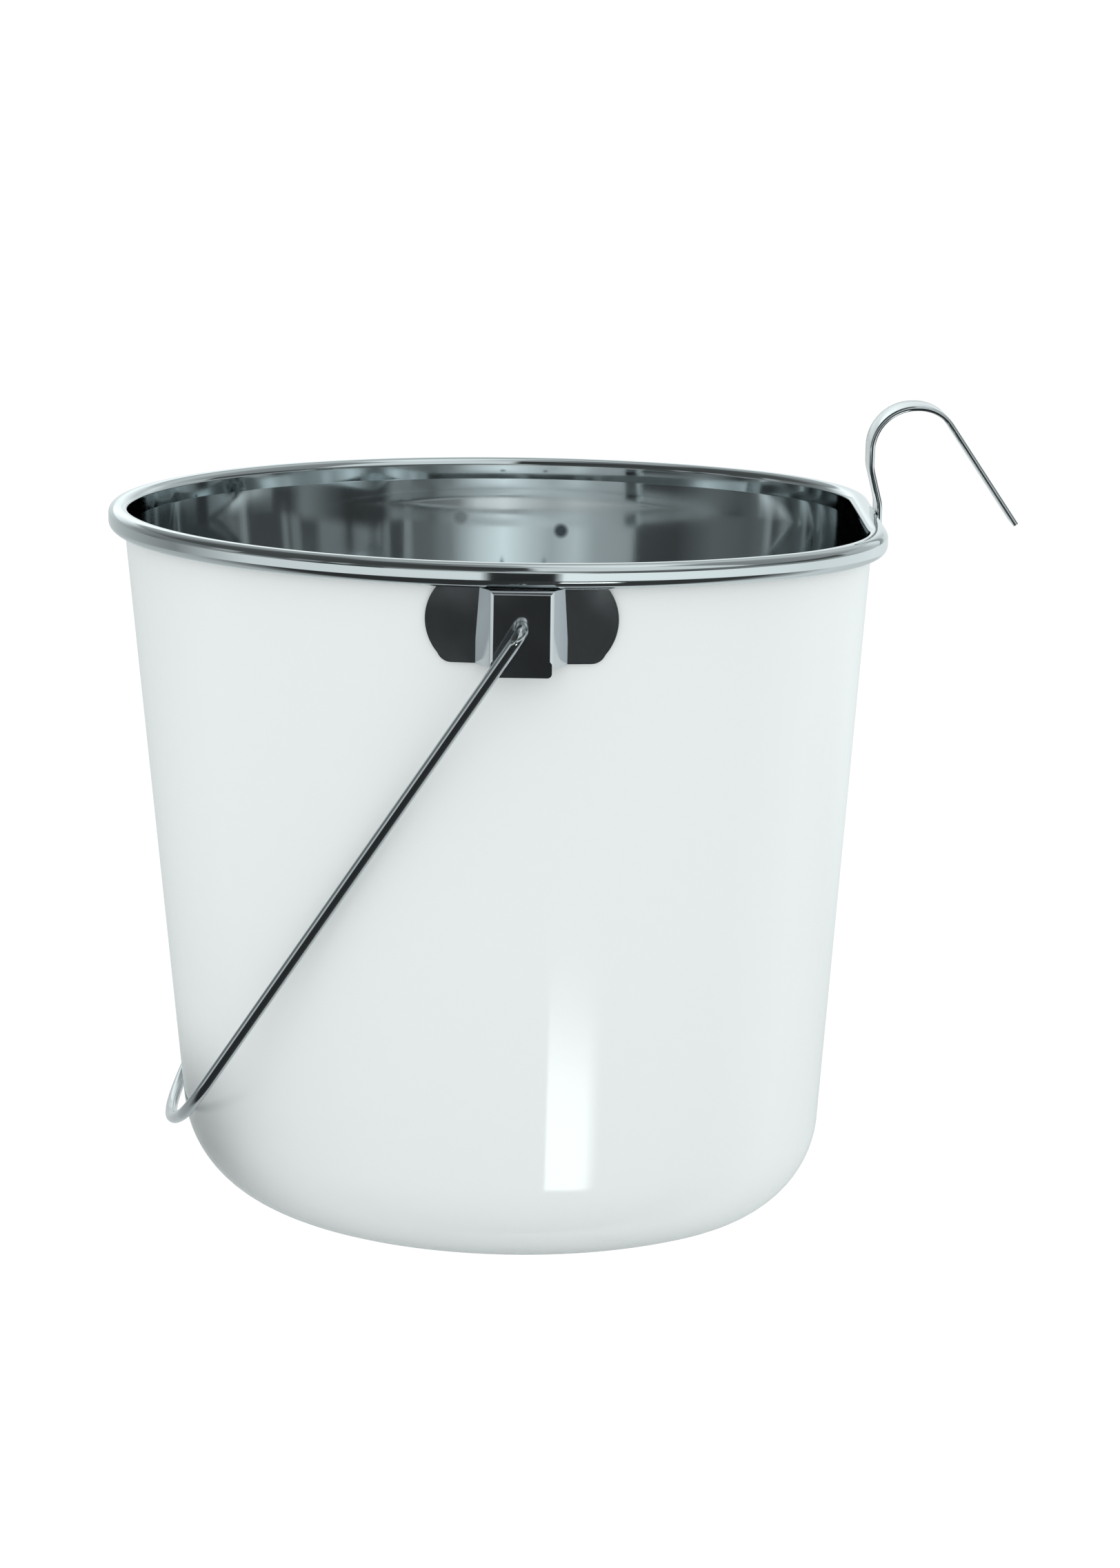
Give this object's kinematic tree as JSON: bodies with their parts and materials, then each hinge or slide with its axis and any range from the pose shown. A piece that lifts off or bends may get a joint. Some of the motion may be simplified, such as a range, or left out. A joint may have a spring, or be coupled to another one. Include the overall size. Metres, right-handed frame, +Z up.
{
  "type": "pail",
  "caption": "Flat-sided steel pail with a white coated outside, rolled rim, swinging wire bail and a strap hook to hang it over a rail.",
  "frame": {"origin": "centre of the standing face, on the axis of the round side, at floor level", "axes": "+Z up out of the mouth, +X out of the flat side with the hook, Y through the two bail ears"},
  "size_m": [0.2802, 0.278, 0.2478],
  "materials": {
    "polished_steel": "mirror polished stainless steel",
    "white_coat": "gloss white powder coat",
    "ear_steel": "polished stamped steel",
    "wire_steel": "bright drawn wire",
    "hook_steel": "polished strip"
  },
  "bodies": {
    "pail": {"pail_shell": "polished_steel", "outer_coat": "white_coat", "front_ear": "ear_steel", "rear_ear": "ear_steel", "hook_strap": "hook_steel"},
    "bail": {"bail": "wire_steel"}
  },
  "joints": [
    {"name": "bail_swing", "type": "hinge", "parent": "pail", "child": "bail", "pos_m": [0, 0, 0.1985], "axis": [0, 1, 0], "range_deg": [-0.5, 299]}
  ]
}
